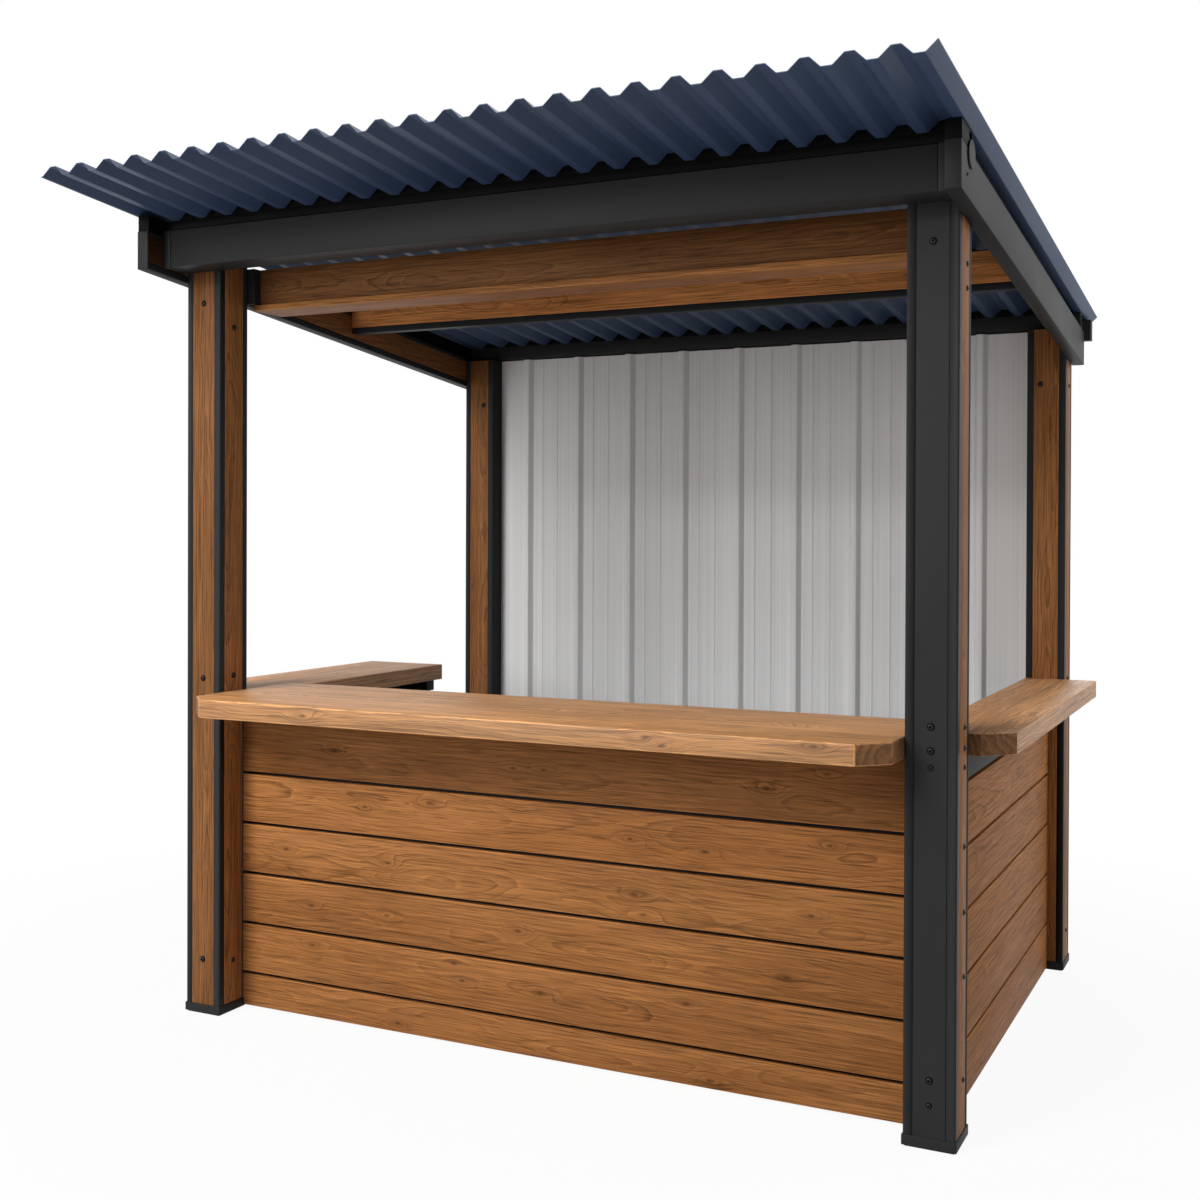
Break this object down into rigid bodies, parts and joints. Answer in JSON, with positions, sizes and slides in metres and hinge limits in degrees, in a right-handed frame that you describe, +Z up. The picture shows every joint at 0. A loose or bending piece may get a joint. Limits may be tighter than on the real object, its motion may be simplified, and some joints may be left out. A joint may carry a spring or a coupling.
{
  "type": "market stall",
  "caption": "Open timber and steel market stall with a ribbed mono-pitch roof, boarded lower panels, thick wooden counters round its sides and an entrance gap.",
  "frame": {"origin": "on the floor, under the middle of the overall box", "axes": "+X to the right along the front, +Y to the back wall, +Z up"},
  "size_m": [2.61, 2.45, 2.5228],
  "materials": {
    "anthracite_steel": "satin",
    "infill_wood": "oiled",
    "counter_wood": "oiled",
    "roof_coating": "satin",
    "wall_coating": "satin"
  },
  "bodies": {
    "root": {"front_left_post": "anthracite_steel", "front_right_post": "anthracite_steel", "back_left_post": "anthracite_steel", "back_right_post": "anthracite_steel", "front_left_foot": "anthracite_steel", "front_right_foot": "anthracite_steel", "back_left_foot": "anthracite_steel", "back_right_foot": "anthracite_steel", "front_beam": "anthracite_steel", "front_beam_left_cap": "anthracite_steel", "front_beam_right_cap": "anthracite_steel", "left_rafter": "anthracite_steel", "right_rafter": "anthracite_steel", "mid_beam": "anthracite_steel", "front_purlin": "anthracite_steel", "rear_purlin": "anthracite_steel", "rear_beam": "anthracite_steel", "left_header_bracket": "anthracite_steel", "right_header_bracket": "anthracite_steel", "front_panel_tray": "anthracite_steel", "right_panel_tray": "anthracite_steel", "right_panel_rail": "anthracite_steel", "left_panel_tray": "anthracite_steel", "left_panel_rail": "anthracite_steel", "left_panel_leg": "anthracite_steel", "left_counter_bearer": "anthracite_steel", "back_wall_top_rail": "anthracite_steel", "back_wall_bottom_rail": "anthracite_steel", "front_left_post_strips": "infill_wood", "front_right_post_strips": "infill_wood", "back_left_post_strips": "infill_wood", "back_right_post_strips": "infill_wood", "left_rafter_lining": "infill_wood", "right_rafter_lining": "infill_wood", "mid_beam_lining": "infill_wood", "header_board": "infill_wood", "header_shelf": "infill_wood", "front_panel_boards": "infill_wood", "right_panel_boards": "infill_wood", "left_panel_boards": "infill_wood", "front_counter": "counter_wood", "right_counter": "counter_wood", "left_counter": "counter_wood", "roof_sheet": "roof_coating", "back_wall_sheet": "wall_coating"}
  },
  "joints": []
}
